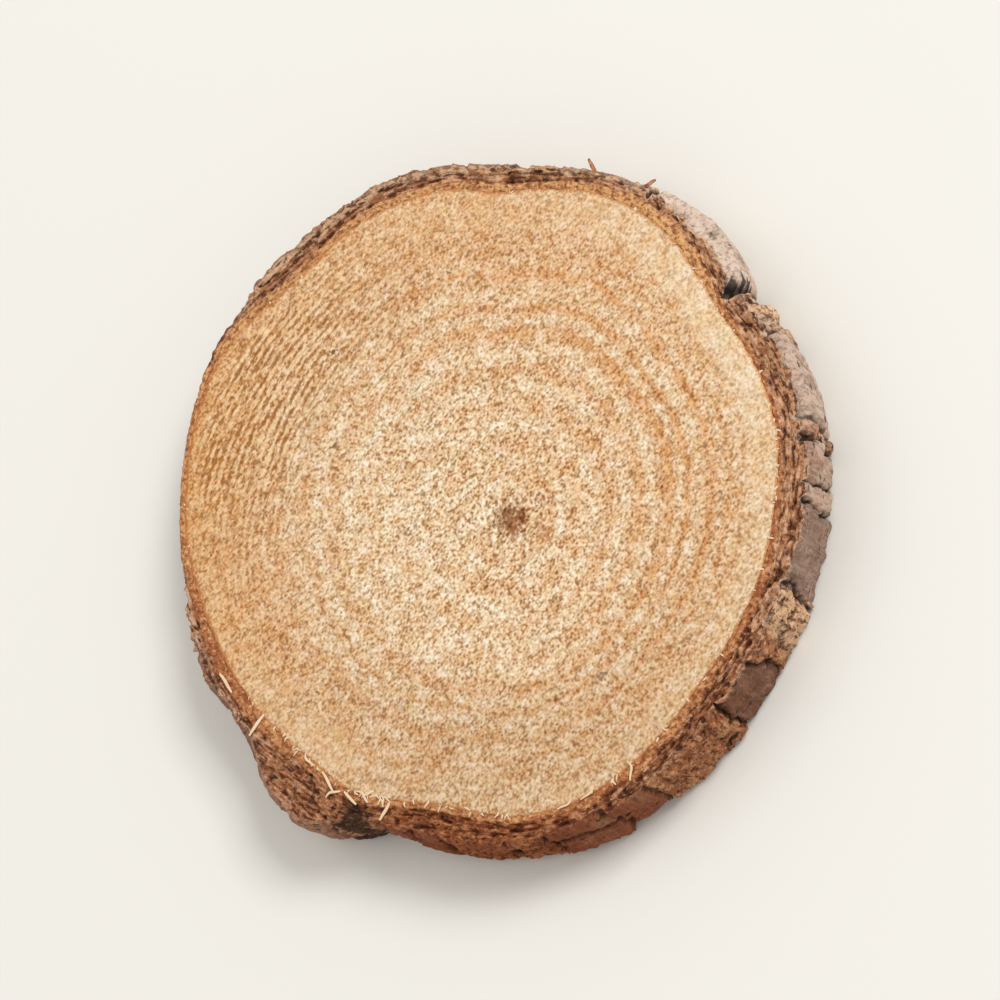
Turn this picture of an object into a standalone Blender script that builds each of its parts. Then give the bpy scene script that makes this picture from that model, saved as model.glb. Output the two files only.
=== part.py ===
# A wood slice: a thin disc sawn across a small trunk, with its bark still on.
# Metres, +Z up. It lies on its sawn underside, and the origin is the middle of that side.
# Angles are in degrees round the pith, from +X towards +Y. Radii in the tables are in mm.

import bisect
import math
import random

import bmesh
import bpy

MM = 0.001
THICKNESS = 10.0 * MM

# Where the wood ends and the bark starts.
WOOD_EDGE = (
    (0, 35.6), (15, 36.7), (42, 37.1), (50, 38.4), (60, 40.9), (70, 43.1), (80, 44.3),
    (97, 45.1), (104, 47.3), (112, 48.6), (122, 49.3), (133, 48.8), (141, 50.0),
    (150, 51.2), (160, 50.4), (170, 48.9), (180, 47.3), (190, 45.2), (200, 43.5),
    (210, 42.1), (228, 40.1), (240, 39.8), (257, 37.4), (275, 38.4), (285, 38.4),
    (295, 37.6), (305, 36.4), (318, 35.1), (330, 34.9), (345, 35.3),
)
# The outside of the bark where the saw cut it, with the lobe at 220 to 240 degrees.
BARK_EDGE = (
    (0, 39.5), (20, 40.2), (40, 41.0), (46, 40.6), (52, 42.0), (60, 43.6), (68, 45.5),
    (75, 46.9), (83, 47.6), (90, 47.8), (97, 49.0), (105, 51.3), (112, 52.6), (120, 53.0),
    (130, 53.3), (137, 53.6), (143, 52.8), (150, 52.6), (160, 51.2), (170, 49.6),
    (180, 48.2), (190, 47.4), (204, 46.7), (210, 45.4), (217, 44.9), (222, 45.9),
    (228, 46.9), (234, 46.5), (239, 44.8), (245, 41.8), (257, 41.4), (275, 41.4),
    (285, 41.2), (295, 40.6), (305, 39.8), (325, 38.8), (345, 38.8),
)
# How far the bark swells beyond that edge, away from the saw cuts.
BARK_SWELL = (
    (0, 0.3), (9, 0.7), (20, 1.1), (32, 0.7), (42, 0.6), (48, 1.9), (58, 2.4), (66, 1.4),
    (75, 0.5), (100, 0.6), (125, 0.7), (143, 0.1), (180, 0.1), (200, 0.5), (225, 0.8),
    (250, 0.5), (290, 0.4), (325, 0.3),
)
SWELL_RUN = 1.9 * MM       # from a saw cut to the full swell
STRIPPED = (143.0, 183.0)  # here the outer bark has come away and a thin smooth skin is left

# Fissures between the bark plates: degrees, half width in degrees, depth in mm.
SEEN_FISSURES = (
    (45.0, 2.4, 1.7), (38.0, 3.8, 0.6), (33.0, 1.6, 0.9), (15.0, 2.4, 0.8), (12.0, 1.7, 1.2),
    (4.8, 1.7, 1.2), (0.0, 1.7, 1.1), (344.0, 2.2, 0.9), (335.0, 4.5, 0.5), (330.0, 1.7, 0.9),
    (319.0, 1.8, 0.9), (300.0, 2.2, 0.8), (292.0, 1.8, 0.8), (67.5, 1.9, 1.3),
)
HIDDEN_STRETCHES = ((72.0, 139.0), (188.0, 286.0))
HIDDEN_STEP = (6.0, 13.0)       # degrees from one fissure to the next
HIDDEN_HALF_WIDTH = (1.5, 2.4)
HIDDEN_DEPTH = (0.7, 1.4)       # mm
FISSURE_SLANT = 3.0             # most degrees a fissure leans over the thickness
PLATE_STEP = 0.35 * MM          # most that one half of a broken plate stands off the other
PLATE_ROUGHNESS = 0.16 * MM
STRIPPED_ROUGHNESS = 0.04 * MM

# The sawn end of the bark: share of its width, and how far it is torn below the cut.
BARK_END = ((0.30, 0.25 * MM, 0.10 * MM), (0.66, 0.40 * MM, 0.25 * MM), (1.0, 0.60 * MM, 0.35 * MM))

# Growth rings, as shares of the way from the pith to the bark. Hard late wood stands proud.
GROWTH_RINGS = (0.24, 0.30, 0.39, 0.475, 0.58, 0.655, 0.745, 0.80, 0.86)
FLAT_CENTRE = 0.17
FLAT_RIM = 0.91
RING_FALL = 0.012
RING_RELIEF = 0.3 * MM
MEAN_WOOD_RADIUS = 41.5
ROUNDING = 0.7                  # inner rings are rounder than the rim
PITH_SHARE = 0.045
PITH_DEPTH = 0.5 * MM

COLUMNS = 240                   # round the bark
COLUMNS_PER_SPOKE = 5           # the sawn faces have this many times fewer
SIDE_LEVELS = (0.10, 0.27, 0.45, 0.55, 0.73, 0.90)
SEED = 23

BARK, WOOD = 0, 1               # places in the object's list of materials
CREASE_ANGLE = math.radians(30.0)
BARK_COLOUR = (0.22, 0.12, 0.075, 1.0)
WOOD_COLOUR = (0.68, 0.47, 0.26, 1.0)
BARK_ROUGHNESS = 0.9
WOOD_ROUGHNESS = 0.75


def round_value(table, degrees):
    # A smooth closed curve through the table's points.
    degrees %= 360.0
    angles = [angle for angle, value in table]
    count = len(table)
    low = bisect.bisect_right(angles, degrees) - 1
    before, here, after, beyond = (table[(low + k) % count][1] for k in (-1, 0, 1, 2))
    gap = (angles[(low + 1) % count] - angles[low]) % 360.0
    t = (degrees - angles[low]) / gap
    line = 2.0 * here + (after - before) * t
    bend = (2.0 * before - 5.0 * here + 4.0 * after - beyond) * t * t
    twist = (3.0 * here - before - 3.0 * after + beyond) * t ** 3
    return 0.5 * (line + bend + twist)


def smooth_step(t):
    t = min(max(t, 0.0), 1.0)
    return t * t * (3.0 - 2.0 * t)


def angle_between(first, second):
    return (first - second + 180.0) % 360.0 - 180.0


def wood_radius(degrees, share):
    # The growth coordinate: a share of 1 is the rim, and small shares are near circles.
    rim = round_value(WOOD_EDGE, degrees)
    radius = MEAN_WOOD_RADIUS + (rim - MEAN_WOOD_RADIUS) * share ** ROUNDING
    return share * radius * MM


def all_fissures(draw):
    fissures = list(SEEN_FISSURES)
    for start, end in HIDDEN_STRETCHES:
        place = start
        while place < end:
            fissures.append((place, draw.uniform(*HIDDEN_HALF_WIDTH), draw.uniform(*HIDDEN_DEPTH)))
            place += draw.uniform(*HIDDEN_STEP)
    fissures.sort()
    slants = [draw.uniform(-FISSURE_SLANT, FISSURE_SLANT) for fissure in fissures]
    return [(*fissure, slant) for fissure, slant in zip(fissures, slants)]


def is_stripped(degrees):
    return STRIPPED[0] < degrees % 360.0 < STRIPPED[1]


def bark_radius(degrees, level, fissures, plate_steps):
    from_cut = min(level, 1.0 - level) * THICKNESS
    swell = round_value(BARK_SWELL, degrees) * smooth_step(from_cut / SWELL_RUN)
    radius = (round_value(BARK_EDGE, degrees) + swell) * MM
    for place, half_width, depth, slant in fissures:
        off = abs(angle_between(degrees, place + slant * (level - 0.5))) / half_width
        if off < 1.0:
            radius -= depth * MM * (1.0 - off * off)
    if not is_stripped(degrees):
        starts = [fissure[0] for fissure in fissures]
        step = plate_steps[bisect.bisect_right(starts, degrees % 360.0) - 1]
        radius += step if level < 0.5 else -step
    return max(radius, wood_radius(degrees, 1.0) + 0.5 * MM)


def bark_side(draw):
    # Loops up the outside of the bark, from the lower cut to the upper one.
    fissures = all_fissures(draw)
    plate_steps = [draw.uniform(-PLATE_STEP, PLATE_STEP) for fissure in fissures]
    loops = []
    for level in (0.0, *SIDE_LEVELS, 1.0):
        loop = []
        for column in range(COLUMNS):
            degrees = column * 360.0 / COLUMNS
            rough = STRIPPED_ROUGHNESS if is_stripped(degrees) else PLATE_ROUGHNESS
            radius = bark_radius(degrees, level, fissures, plate_steps) + draw.uniform(-rough, rough)
            loop.append((degrees, radius, level * THICKNESS))
        loops.append(loop)
    return loops


def bark_end(draw, edge, underside):
    # Loops across the sawn end of the bark, from the wood outwards; the last one trims the edge.
    loops = []
    for share, torn, spread in BARK_END:
        loop = []
        for degrees, outside, height in edge:
            inside = wood_radius(degrees, 1.0)
            drop = torn + draw.uniform(-spread, spread)
            if is_stripped(degrees):
                drop = STRIPPED_ROUGHNESS
            loop.append((degrees, inside + (outside - inside) * share, drop if underside else height - drop))
        loops.append(loop)
    return loops


def wood_face(height, inwards):
    # Loops from the pith out to the bark; inwards is the direction of the wood from this face.
    profile = [(PITH_SHARE, 0.0), (FLAT_CENTRE, 0.0)]
    for ring in GROWTH_RINGS:
        profile += [(ring, 0.0), (ring + RING_FALL, RING_RELIEF)]
    profile.append((FLAT_RIM, 0.0))
    spokes = COLUMNS // COLUMNS_PER_SPOKE
    loops = []
    for share, depth in profile:
        angles = [spoke * 360.0 / spokes for spoke in range(spokes)]
        loops.append([(angle, wood_radius(angle, share), height + inwards * depth) for angle in angles])
    rim = [column * 360.0 / COLUMNS for column in range(COLUMNS)]
    loops.append([(angle, wood_radius(angle, 1.0), height) for angle in rim])
    return loops


def add_loop(mesh, loop):
    verts = []
    for degrees, radius, height in loop:
        turn = math.radians(degrees)
        verts.append(mesh.verts.new((radius * math.cos(turn), radius * math.sin(turn), height)))
    return verts


def join_loops(mesh, first, second, material):
    # A strip between two loops; one may have several times as many points as the other.
    longer = max(len(first), len(second))

    def point(loop, k):
        return loop[k * len(loop) // longer % len(loop)]

    for k in range(longer):
        here, onward = point(first, k), point(first, k + 1)
        above, above_onward = point(second, k), point(second, k + 1)
        corners = []
        if here != onward:
            corners.append((here, onward, above_onward))
        if above != above_onward:
            corners.append((here, above_onward, above))
        for triangle in corners:
            mesh.faces.new(triangle).material_index = material


def close_pith(mesh, loop, height):
    tip = mesh.verts.new((0.0, 0.0, height))
    for k, vert in enumerate(loop):
        mesh.faces.new((vert, loop[(k + 1) % len(loop)], tip)).material_index = WOOD


def make_slice_mesh():
    draw = random.Random(SEED)
    side = bark_side(draw)
    lower_end = bark_end(draw, side[0], True)
    upper_end = bark_end(draw, side[-1], False)
    lower_face = wood_face(0.0, 1.0)
    upper_face = wood_face(THICKNESS, -1.0)

    loops = lower_face + lower_end + side[1:-1] + upper_end[::-1] + upper_face[::-1]
    wood_strips = len(lower_face) - 1
    mesh = bmesh.new()
    rows = [add_loop(mesh, loop) for loop in loops]
    strips = len(rows) - 1
    for k in range(strips):
        on_wood = k < wood_strips or k >= strips - wood_strips
        join_loops(mesh, rows[k], rows[k + 1], WOOD if on_wood else BARK)
    close_pith(mesh, rows[0], PITH_DEPTH)
    close_pith(mesh, rows[-1], THICKNESS - PITH_DEPTH)
    bmesh.ops.recalc_face_normals(mesh, faces=mesh.faces)
    return mesh


def centre_on_box(mesh):
    # The middle of the slice's box becomes the origin, and the underside stays at zero.
    for axis in (0, 1):
        places = [vert.co[axis] for vert in mesh.verts]
        middle = 0.5 * (min(places) + max(places))
        for vert in mesh.verts:
            vert.co[axis] -= middle


def make_material(name, colour, roughness):
    material = bpy.data.materials.new(name)
    material.use_nodes = True
    shader = material.node_tree.nodes["Principled BSDF"]
    shader.inputs["Base Color"].default_value = colour
    shader.inputs["Roughness"].default_value = roughness
    shader.inputs["Metallic"].default_value = 0.0
    material.diffuse_color = colour
    return material


def main():
    for old in list(bpy.data.objects):
        bpy.data.objects.remove(old, do_unlink=True)
    built = make_slice_mesh()
    centre_on_box(built)
    mesh = bpy.data.meshes.new("wood_slice")
    built.to_mesh(mesh)
    built.free()
    mesh.shade_smooth()
    mesh.set_sharp_from_angle(angle=CREASE_ANGLE)
    mesh.materials.append(make_material("bark", BARK_COLOUR, BARK_ROUGHNESS))
    mesh.materials.append(make_material("sawn_wood", WOOD_COLOUR, WOOD_ROUGHNESS))
    piece = bpy.data.objects.new("wood_slice", mesh)
    bpy.context.scene.collection.objects.link(piece)


main()
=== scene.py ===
import math
import random

import bpy
import numpy as np
from mathutils import Matrix, Vector


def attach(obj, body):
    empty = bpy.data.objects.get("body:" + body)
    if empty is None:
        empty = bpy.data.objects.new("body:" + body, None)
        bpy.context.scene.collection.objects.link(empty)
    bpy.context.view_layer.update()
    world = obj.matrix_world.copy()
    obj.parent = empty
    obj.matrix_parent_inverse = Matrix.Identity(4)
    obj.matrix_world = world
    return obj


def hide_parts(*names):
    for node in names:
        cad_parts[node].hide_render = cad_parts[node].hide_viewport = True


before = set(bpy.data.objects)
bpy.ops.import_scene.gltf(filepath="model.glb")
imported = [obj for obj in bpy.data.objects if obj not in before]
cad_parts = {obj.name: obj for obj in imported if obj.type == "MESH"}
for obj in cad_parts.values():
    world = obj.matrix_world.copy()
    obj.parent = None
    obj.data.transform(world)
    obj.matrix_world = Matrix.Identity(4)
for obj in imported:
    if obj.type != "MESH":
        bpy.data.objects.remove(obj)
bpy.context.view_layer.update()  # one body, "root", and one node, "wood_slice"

mm = 0.001
print("frame loaded")

# The slice. Lengths are in mm, angles in degrees round the pith, from +X towards +Y.
sliceShape = {
    "pith": (4.229, -4.307),     # from the middle of the slice
    "thickness": 10.0,
    "meanRadius": 41.5,
    "rounding": 0.7,             # inner rings are rounder than the rim
    "stripped": (143.0, 183.0),  # only a thin skin of inner bark is left here
    "woodEdge": (
        (0, 35.6), (15, 36.7), (42, 37.1), (50, 38.4), (60, 40.9), (70, 43.1), (80, 44.3),
        (97, 45.1), (104, 47.3), (112, 48.6), (122, 49.3), (133, 48.8), (141, 50.0),
        (150, 51.2), (160, 50.4), (170, 48.9), (180, 47.3), (190, 45.2), (200, 43.5),
        (210, 42.1), (228, 40.1), (240, 39.8), (257, 37.4), (275, 38.4), (285, 38.4),
        (295, 37.6), (305, 36.4), (318, 35.1), (330, 34.9), (345, 35.3),
    ),
    "barkEdge": (
        (0, 39.5), (20, 40.2), (40, 41.0), (46, 40.6), (52, 42.0), (60, 43.6), (68, 45.5),
        (75, 46.9), (83, 47.6), (90, 47.8), (97, 49.0), (105, 51.3), (112, 52.6), (120, 53.0),
        (130, 53.3), (137, 53.6), (143, 52.8), (150, 52.6), (160, 51.2), (170, 49.6),
        (180, 48.2), (190, 47.4), (204, 46.7), (210, 45.4), (217, 44.9), (222, 45.9),
        (228, 46.9), (234, 46.5), (239, 44.8), (245, 41.8), (257, 41.4), (275, 41.4),
        (285, 41.2), (295, 40.6), (305, 39.8), (325, 38.8), (345, 38.8),
    ),
    "barkSwell": (
        (0, 0.3), (9, 0.7), (20, 1.1), (32, 0.7), (42, 0.6), (48, 1.9), (58, 2.4), (66, 1.4),
        (75, 0.5), (100, 0.6), (125, 0.7), (143, 0.1), (180, 0.1), (200, 0.5), (225, 0.8),
        (250, 0.5), (290, 0.4), (325, 0.3),
    ),
    "swellRun": 1.9,
}


def roundValue(table, degrees):  # smooth closed curve through (degrees, value) pairs
    angles = np.array([pair[0] for pair in table], float)
    values = np.array([pair[1] for pair in table], float)
    degrees = np.mod(degrees, 360.0)
    low = np.searchsorted(angles, degrees, side="right") - 1
    before, here, after, beyond = (values[(low + k) % len(table)] for k in (-1, 0, 1, 2))
    gap = np.mod(angles[(low + 1) % len(table)] - angles[low], 360.0)
    t = (degrees - angles[low]) / gap
    bend = (2.0 * before - 5.0 * here + 4.0 * after - beyond) * t ** 2
    twist = (3.0 * here - before - 3.0 * after + beyond) * t ** 3
    return 0.5 * (2.0 * here + (after - before) * t + bend + twist)


def smoothStep(low, high, value):
    t = np.clip((value - low) / (high - low), 0.0, 1.0)
    return t * t * (3.0 - 2.0 * t)


def angleBetween(first, second):
    return np.mod(first - second + 180.0, 360.0) - 180.0


def grain(points, size, shift=0.0):  # smooth noise from -1 to 1; size is its grain in mm along x, y and z
    spots = points / np.array(size) + shift + 1000.0
    cell = np.floor(spots).astype(np.int64)
    inside = spots - cell
    ease = inside ** 3 * (inside * (inside * 6.0 - 15.0) + 10.0)
    total = np.zeros(spots.shape[:-1])
    for corner in np.ndindex(2, 2, 2):
        at = cell + corner
        mixed = (at[..., 0] * 73856093) ^ (at[..., 1] * 19349663) ^ (at[..., 2] * 83492791)
        mixed = ((mixed ^ (mixed >> 13)) * 1274126177) & 0x7fffffff
        mixed = ((mixed ^ (mixed >> 15)) * 668265263) & 0x3fffffff
        slopes = np.stack([mixed >> part & 1023 for part in (0, 10, 20)], axis=-1) / 511.5 - 1.0
        weight = np.prod(np.where(corner, ease, 1.0 - ease), axis=-1)
        total += weight * np.sum(slopes * (inside - corner), axis=-1)
    return (1.6 * total).clip(-1.0, 1.0)


def growthRadius(degrees, share):  # share runs from 0 at the pith to 1 at the bark
    rim = roundValue(sliceShape["woodEdge"], degrees)
    return share * (sliceShape["meanRadius"] + (rim - sliceShape["meanRadius"]) * share ** sliceShape["rounding"])


def roundPith(degrees, radius, height):  # points in mm from an angle, a radius and a height
    degrees, radius, height = np.broadcast_arrays(degrees, radius, height)
    turn = np.radians(degrees)
    return np.stack([sliceShape["pith"][0] + radius * np.cos(turn), sliceShape["pith"][1] + radius * np.sin(turn), height], axis=-1)


def startClean(piece=None):
    if bpy.context.object and bpy.context.object.mode != "OBJECT":
        bpy.ops.object.mode_set(mode="OBJECT")
    bpy.ops.object.select_all(action="DESELECT")
    if piece:
        bpy.context.view_layer.objects.active = piece
        piece.select_set(True)


def readPoints(piece):
    flat = np.empty(len(piece.data.vertices) * 3)
    piece.data.vertices.foreach_get("co", flat)
    return flat.reshape(-1, 3)


def movePoints(piece, points):  # points are in mm
    piece.data.vertices.foreach_set("co", (points.reshape(-1, 3) * mm).ravel())
    piece.data.update()


def setAttribute(piece, name, values):  # one number, or three, for each point
    isVector = np.ndim(values) == 2
    layer = piece.data.attributes.new(name, "FLOAT_VECTOR" if isVector else "FLOAT", "POINT")
    layer.data.foreach_set("vector" if isVector else "value", np.ascontiguousarray(values, dtype=np.float32).ravel())


def closeUp(piece, angle):  # merges seams, turns faces outwards, then shades
    startClean(piece)
    bpy.ops.object.mode_set(mode="EDIT")
    bpy.ops.mesh.select_all(action="SELECT")
    bpy.ops.mesh.remove_doubles(threshold=1e-6)
    bpy.ops.mesh.normals_make_consistent(inside=False)
    bpy.ops.object.mode_set(mode="OBJECT")
    bpy.ops.object.shade_smooth_by_angle(angle=math.radians(angle))


# Sawn wood: both faces and the growth rings.
sawnWood = {
    "cells": 216,                # across each face, 0.4 mm apart
    "sawDegrees": 58.0,          # the way the saw ran
    "tufts": (1.5, 1.2, 0.05),   # torn fibre: along the saw, across it, height, mm
    "fineTufts": (1.0, 0.9, 0.05),
    "waves": (6.0, 3.5, 0.03),
    "pits": (1.2, 1.0, 0.10),
    "lateWood": (0.14, 0.23, 0.355, 0.46, 0.58, 0.652, 0.745, 0.805, 0.865),
    "ringHeight": 0.025,         # hard late wood stands this far proud
    "pithReach": 0.045,
    "pithDepth": 0.2,
    "rimDrop": 0.10,
    "proudest": 0.12,
    # How strongly things show, round the pith.
    "ringShow": ((0, 1.0), (45, 1.0), (85, 0.9), (120, 0.65), (160, 0.5), (200, 0.5), (240, 0.6), (280, 0.7), (320, 0.9)),
    "warmRim": ((0, 0.15), (45, 0.05), (75, 0.35), (105, 0.6), (135, 0.65), (165, 1.0), (190, 0.85), (225, 0.5), (255, 0.3), (285, 0.25), (315, 0.25)),
    # painted shade: how far the face is darkened towards the lower rim
    "paintedShadeRim": ((0, 0.2), (45, 0.0), (105, 0.0), (165, 0.1), (200, 0.2), (225, 0.6), (255, 1.0), (285, 1.0), (315, 0.7), (340, 0.4)),
    "paleEdge": ((0, 0.5), (45, 0.9), (75, 0.5), (105, 0.2), (135, 0.0), (195, 0.1), (225, 0.7), (255, 0.15), (285, 0.2), (315, 0.3)),
    "dashes": ((0, 0.0), (105, 0.0), (128, 0.6), (145, 1.0), (168, 0.9), (182, 0.4), (200, 0.0), (270, 0.0)),
    "dashRows": 1.05,            # mm from row to row
}


def sawRelief(points, share, degrees, shift):  # height of the torn surface over the cut, mm
    turn = math.radians(sawnWood["sawDegrees"])
    along = points[:, 0] * math.cos(turn) + points[:, 1] * math.sin(turn)
    across = points[:, 1] * math.cos(turn) - points[:, 0] * math.sin(turn)
    spots = np.stack([along, across, np.zeros_like(along)], axis=-1)
    height = np.zeros_like(share)
    for ring in sawnWood["lateWood"]:
        height = np.maximum(height, sawnWood["ringHeight"] * np.exp(-((share - ring) / 0.016) ** 2))
    for k, name in enumerate(("tufts", "fineTufts", "waves")):
        longSize, wideSize, tall = sawnWood[name]
        height += 1.5 * tall * grain(spots, (longSize, wideSize, 1.0), shift + 7.3 * k)
    longSize, wideSize, deep = sawnWood["pits"]
    height -= deep * smoothStep(0.25, 0.6, grain(spots, (longSize, wideSize, 1.0), shift + 31.7))
    reach = sawnWood["pithReach"]
    height -= sawnWood["pithDepth"] * (1.0 - smoothStep(0.2 * reach, reach, share)) * (0.6 + 0.9 * grain(spots, (0.9, 0.9, 1.0), shift))
    height -= sawnWood["rimDrop"] * smoothStep(0.985, 1.0, share)
    return np.minimum(height, sawnWood["proudest"])


def makeSawnWood():
    startClean()
    cells = sawnWood["cells"]
    bpy.ops.mesh.primitive_grid_add(x_subdivisions=cells, y_subdivisions=cells, size=2.0)
    piece = bpy.context.object
    piece.name = piece.data.name = "sawnWood"
    bpy.ops.object.mode_set(mode="EDIT")
    bpy.ops.mesh.select_all(action="SELECT")
    bpy.ops.mesh.extrude_region_move(TRANSFORM_OT_translate={"value": (0.0, 0.0, 1.0)})
    bpy.ops.object.mode_set(mode="OBJECT")

    grid = readPoints(piece)
    u, v, top = grid[:, 0], grid[:, 1], grid[:, 2] > 0.5
    share = np.maximum(np.abs(u), np.abs(v))  # square rings of the grid become growth rings
    wide = np.abs(u) >= np.abs(v)
    safeU = np.where(wide & (u != 0.0), u, 1.0)
    safeV = np.where(wide, 1.0, v)
    turn = np.where(wide, math.pi / 4 * v / safeU + math.pi * (u < 0), math.pi / 2 - math.pi / 4 * u / safeV + math.pi * (v < 0))
    degrees = np.mod(np.degrees(turn), 360.0)
    radius = growthRadius(degrees, share)
    points = roundPith(degrees, radius, 0.0)
    rim = smoothStep(0.97, 1.0, share)[:, None]
    points += rim * 0.18 * np.stack([grain(points, (1.1, 1.1, 1.1), shift) for shift in (61.0, 62.0, 63.0)], axis=-1) * (1.0, 1.0, 0.0)
    upper = sliceShape["thickness"] + sawRelief(points, share, degrees, 0.0)
    lower = (sawnWood["proudest"] - sawRelief(points, share, degrees, 400.0)).clip(0.0)
    points[:, 2] = np.where(top, upper, lower)
    movePoints(piece, points)

    rows = smoothStep(0.62, 0.76, share) * (1.0 - smoothStep(0.94, 0.99, share))
    for name, values in {
        "growth": share,
        "relief": np.where(top, upper - sliceShape["thickness"], sawnWood["proudest"] - lower),
        "ringShow": roundValue(sawnWood["ringShow"], degrees),
        "warmRim": roundValue(sawnWood["warmRim"], degrees).clip(0.0) * smoothStep(0.55, 0.95, share),
        "paintedShadeRim": roundValue(sawnWood["paintedShadeRim"], degrees).clip(0.0) * smoothStep(0.4, 0.75, share),
        "paleEdge": roundValue(sawnWood["paleEdge"], degrees).clip(0.0) * smoothStep(0.82, 0.92, share),
        "dashShow": roundValue(sawnWood["dashes"], degrees).clip(0.0) * rows,
        "dashRow": radius / sawnWood["dashRows"],
    }.items():
        setAttribute(piece, name, values)
    closeUp(piece, 60.0)
    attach(piece, "root")
    print("sawn wood made")
    return piece


# Bark: plates, fissures and the torn sawn ends, as one ring round the wood.
bark = {
    "columns": 1400,
    "sideRows": 34,
    "endRows": 14,
    "innerRows": 3,
    "tuck": 0.3,              # the ring's inner wall stands this far inside the wood
    "leastThickness": 0.5,
    "seed": 23,
    "fissures": (             # degrees, half width in degrees, depth in mm
        (45.0, 2.4, 1.5), (38.0, 3.0, 0.5), (33.0, 1.3, 0.8), (15.0, 1.3, 0.7), (12.0, 1.1, 1.0),
        (4.8, 1.0, 0.9), (0.0, 1.0, 0.9), (344.0, 1.3, 0.8), (335.0, 3.5, 0.4), (330.0, 1.2, 0.7),
        (319.0, 1.2, 0.8), (300.0, 1.4, 0.6), (292.0, 1.2, 0.6), (67.5, 1.5, 1.1),
    ),
    "narrowing": 0.65,        # of the hidden fissures' widths
    # The sawn end, round the pith: how wide the inner bark is in mm, how golden it is, how wide the pale outer layer is in mm.
    "innerWidth": (
        (0, 0.5), (15, 0.4), (30, 0.4), (42, 0.7), (50, 1.4), (60, 1.5), (72, 1.2), (90, 1.1), (130, 1.2), (150, 1.2),
        (175, 1.0), (190, 1.3), (205, 1.8), (220, 1.7), (235, 1.0), (250, 0.9), (275, 0.9), (290, 1.0), (305, 1.4), (320, 1.1), (340, 0.9),
    ),
    "golden": (
        (0, 0.25), (15, 0.1), (30, 0.15), (42, 0.4), (50, 0.9), (60, 1.0), (72, 0.9), (90, 0.75), (130, 0.75), (150, 0.7),
        (175, 0.6), (190, 0.3), (205, 0.15), (220, 0.4), (235, 0.35), (250, 0.4), (275, 0.4), (290, 0.1), (305, 0.35), (320, 0.3), (340, 0.2),
    ),
    "ruddy": (                # how red the plates are
        (0, 0.05), (30, 0.05), (60, 0.0), (80, 0.3), (110, 0.4), (140, 0.4), (200, 0.3), (225, 0.4), (250, 0.7), (275, 1.0), (298, 1.0), (310, 0.6), (330, 0.3), (345, 0.1),
    ),
    "deep": (                 # painted shade: how far the bark is darkened and turned more orange-brown, round the lower side
        (0, 0.0), (215, 0.1), (240, 0.45), (255, 0.9), (280, 0.95), (290, 0.55), (302, 0.1), (312, 0.35), (328, 0.3), (338, 0.0),
    ),
    "outerWidth": (
        (0, 0.5), (30, 0.6), (60, 0.5), (90, 0.9), (105, 1.3), (135, 1.3), (146, 0.5), (180, 0.4), (200, 1.0), (225, 0.7), (250, 0.3), (290, 0.4), (325, 0.5),
    ),
    "hiddenStretches": ((72.0, 139.0), (188.0, 286.0)),
    "hiddenStep": (6.0, 13.0),
    "hiddenHalfWidth": (1.5, 2.4),
    "hiddenDepth": (0.7, 1.4),
    "slant": 3.0,
    "plateStep": 0.35,
    # What stands after each fissure: degrees, tone from dark 0 to pale 1, how torn it is.
    "plates": (
        (0.0, 0.78, 0.1), (4.8, 0.75, 0.1), (12.0, 0.7, 0.7), (15.0, 0.82, 0.05), (33.0, 0.85, 0.7),
        (38.0, 1.0, 1.0), (45.0, 1.0, 0.05), (67.5, 0.85, 0.6), (286.0, 0.25, 0.2), (292.0, 0.15, 0.1),
        (300.0, 0.45, 1.0), (319.0, 0.2, 0.1), (330.0, 0.5, 1.0), (335.0, 0.9, 1.0), (344.0, 0.45, 0.05),
    ),
    "hiddenTone": (0.4, 0.75),
    "hiddenTornShare": 0.35,
    # Sooty crust, and painted shade in dark hollows: degrees, half width in degrees, strength.
    "crustsAndShade": ((45.2, 1.5, 0.80), (242.5, 3.0, 1.1), (12.6, 0.8, 0.6), (315.0, 2.5, 0.3)),
}


def drawFissures():
    draw = random.Random(bark["seed"])  # the same draws as the solid's, so each fissure falls in the same place
    fissures = [(*fissure, True) for fissure in bark["fissures"]]
    for start, end in bark["hiddenStretches"]:
        place = start
        while place < end:
            fissures.append((place, draw.uniform(*bark["hiddenHalfWidth"]), draw.uniform(*bark["hiddenDepth"]), False))
            place += draw.uniform(*bark["hiddenStep"])
    fissures.sort()
    slants = [draw.uniform(-bark["slant"], bark["slant"]) for fissure in fissures]
    steps = [draw.uniform(-bark["plateStep"], bark["plateStep"]) for fissure in fissures]
    known = {place: (tone, torn) for place, tone, torn in bark["plates"]}
    plates = []
    for fissure, step in zip(fissures, steps):
        hidden = (draw.uniform(*bark["hiddenTone"]), 0.65 if draw.random() < bark["hiddenTornShare"] else 0.15)
        breakLevel = draw.uniform(0.38, 0.62)
        cracked = float(draw.random() < 0.6)
        plates.append((*known.get(fissure[0], hidden), breakLevel, cracked, step))
    return fissures, slants, plates


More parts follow.
